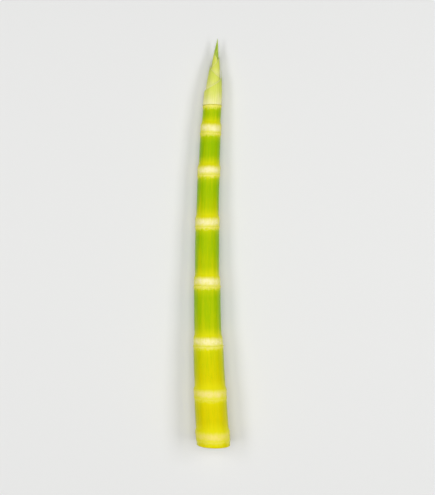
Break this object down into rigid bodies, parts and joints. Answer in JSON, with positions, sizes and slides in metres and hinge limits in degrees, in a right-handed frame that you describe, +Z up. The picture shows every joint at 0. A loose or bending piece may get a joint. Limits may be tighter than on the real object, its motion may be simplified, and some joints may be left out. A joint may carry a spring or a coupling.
{
  "type": "bamboo shoot",
  "caption": "Slender peeled bamboo shoot lying on its side: a jointed green stem that tapers from a cut end to a point wrapped in young sheaths.",
  "frame": {"origin": "on the resting surface, under the middle of the shoot's bounding box", "axes": "+Y along the shoot from its cut end to its tip, +Z up from the surface it lies on, +X the side that both ends bow towards"},
  "size_m": [0.021, 0.232, 0.0196],
  "materials": {
    "peeled_culm": "smooth moist plant skin, lime green turning yellow towards each node, with pale cream node bands",
    "young_sheath": "thin satin young leaf sheath with fine parallel veins, pale yellow-green"
  },
  "bodies": {
    "root": {"culm": "peeled_culm", "lower_sheath": "young_sheath", "second_sheath": "young_sheath", "third_sheath": "young_sheath", "upper_sheath": "young_sheath"}
  },
  "joints": []
}
